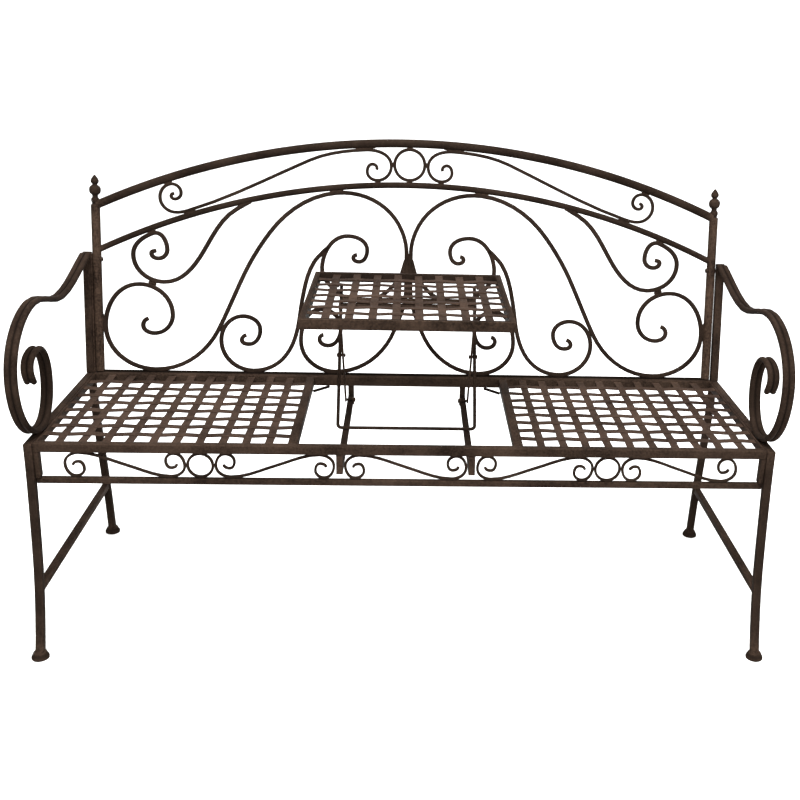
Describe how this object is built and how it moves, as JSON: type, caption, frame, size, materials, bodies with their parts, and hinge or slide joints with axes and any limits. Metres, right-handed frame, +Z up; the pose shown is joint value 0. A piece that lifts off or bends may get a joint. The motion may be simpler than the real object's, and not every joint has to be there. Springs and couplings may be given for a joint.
{
  "type": "garden bench with rising table",
  "caption": "Wrought-iron garden bench with a scrolled back, curled arms, woven-strip seats and a middle table that rises on a scissor lift.",
  "frame": {"origin": "on the floor, under the middle of the bench's outer box", "axes": "+X to the right of someone facing the bench, along its length; -Y towards the front, where sitters face; +Z up"},
  "size_m": [1.4778, 0.6311, 0.9578],
  "materials": {
    "frame_paint": "satin",
    "weave_paint": "satin",
    "lift_paint": "satin"
  },
  "bodies": {
    "bench": {"apron_post_left": "frame_paint", "apron_post_right": "frame_paint", "apron_rail": "frame_paint", "apron_ring_left": "frame_paint", "apron_ring_right": "frame_paint", "apron_scroll_centre": "frame_paint", "apron_scroll_inner_left": "frame_paint", "apron_scroll_inner_right": "frame_paint", "apron_scroll_outer_left": "frame_paint", "apron_scroll_outer_right": "frame_paint", "arm_left": "frame_paint", "arm_right": "frame_paint", "arm_upright_left": "frame_paint", "arm_upright_right": "frame_paint", "back_post_left": "frame_paint", "back_post_right": "frame_paint", "band_scroll_left": "frame_paint", "band_scroll_right": "frame_paint", "centre_ring": "frame_paint", "front_leg_left": "frame_paint", "front_leg_right": "frame_paint", "heart_scroll_left": "frame_paint", "heart_scroll_right": "frame_paint", "large_scroll_left": "frame_paint", "large_scroll_right": "frame_paint", "lift_crossbar_left": "lift_paint", "lift_crossbar_right": "lift_paint", "lower_scroll_left": "frame_paint", "lower_scroll_right": "frame_paint", "post_spacer_left": "frame_paint", "post_spacer_right": "frame_paint", "rear_leg_left": "frame_paint", "rear_leg_right": "frame_paint", "seat_divider_left": "frame_paint", "seat_divider_right": "frame_paint", "seat_end_rail_left": "frame_paint", "seat_end_rail_right": "frame_paint", "seat_front_rail": "frame_paint", "seat_panel_left": "weave_paint", "seat_panel_right": "weave_paint", "seat_rear_rail": "frame_paint", "second_rail": "frame_paint", "side_rail_left": "frame_paint", "side_rail_right": "frame_paint", "stretcher_left": "frame_paint", "stretcher_right": "frame_paint", "table_rest_left": "lift_paint", "table_rest_right": "lift_paint", "top_rail": "frame_paint", "wing_scroll_left": "frame_paint", "wing_scroll_right": "frame_paint"},
    "lift_arms": {"lift_arm_left": "lift_paint", "lift_arm_right": "lift_paint"},
    "prop": {"prop_rod": "lift_paint"},
    "table": {"table_frame": "frame_paint", "table_panel": "weave_paint", "table_brace_front": "lift_paint", "table_brace_rear": "lift_paint"}
  },
  "joints": [
    {"name": "lift_fold", "type": "hinge", "parent": "bench", "child": "lift_arms", "pos_m": [0, 0.14404, 0.39205], "axis": [1, 0, 0], "range_deg": [0, 53.8]},
    {"name": "knob_turn", "type": "hinge", "parent": "lift_arms", "child": "prop", "pos_m": [0, 0.05804, 0.52655], "axis": [1, 0, 0], "range_deg": [-107.6, 0]},
    {"name": "table_level", "type": "hinge", "parent": "prop", "child": "table", "pos_m": [0, 0.14404, 0.66105], "axis": [1, 0, 0], "range_deg": [0, 53.8]}
  ],
  "couplings": [
    {"joint": "knob_turn", "follows": "lift_fold", "ratio": -2},
    {"joint": "table_level", "follows": "lift_fold", "ratio": 1}
  ]
}
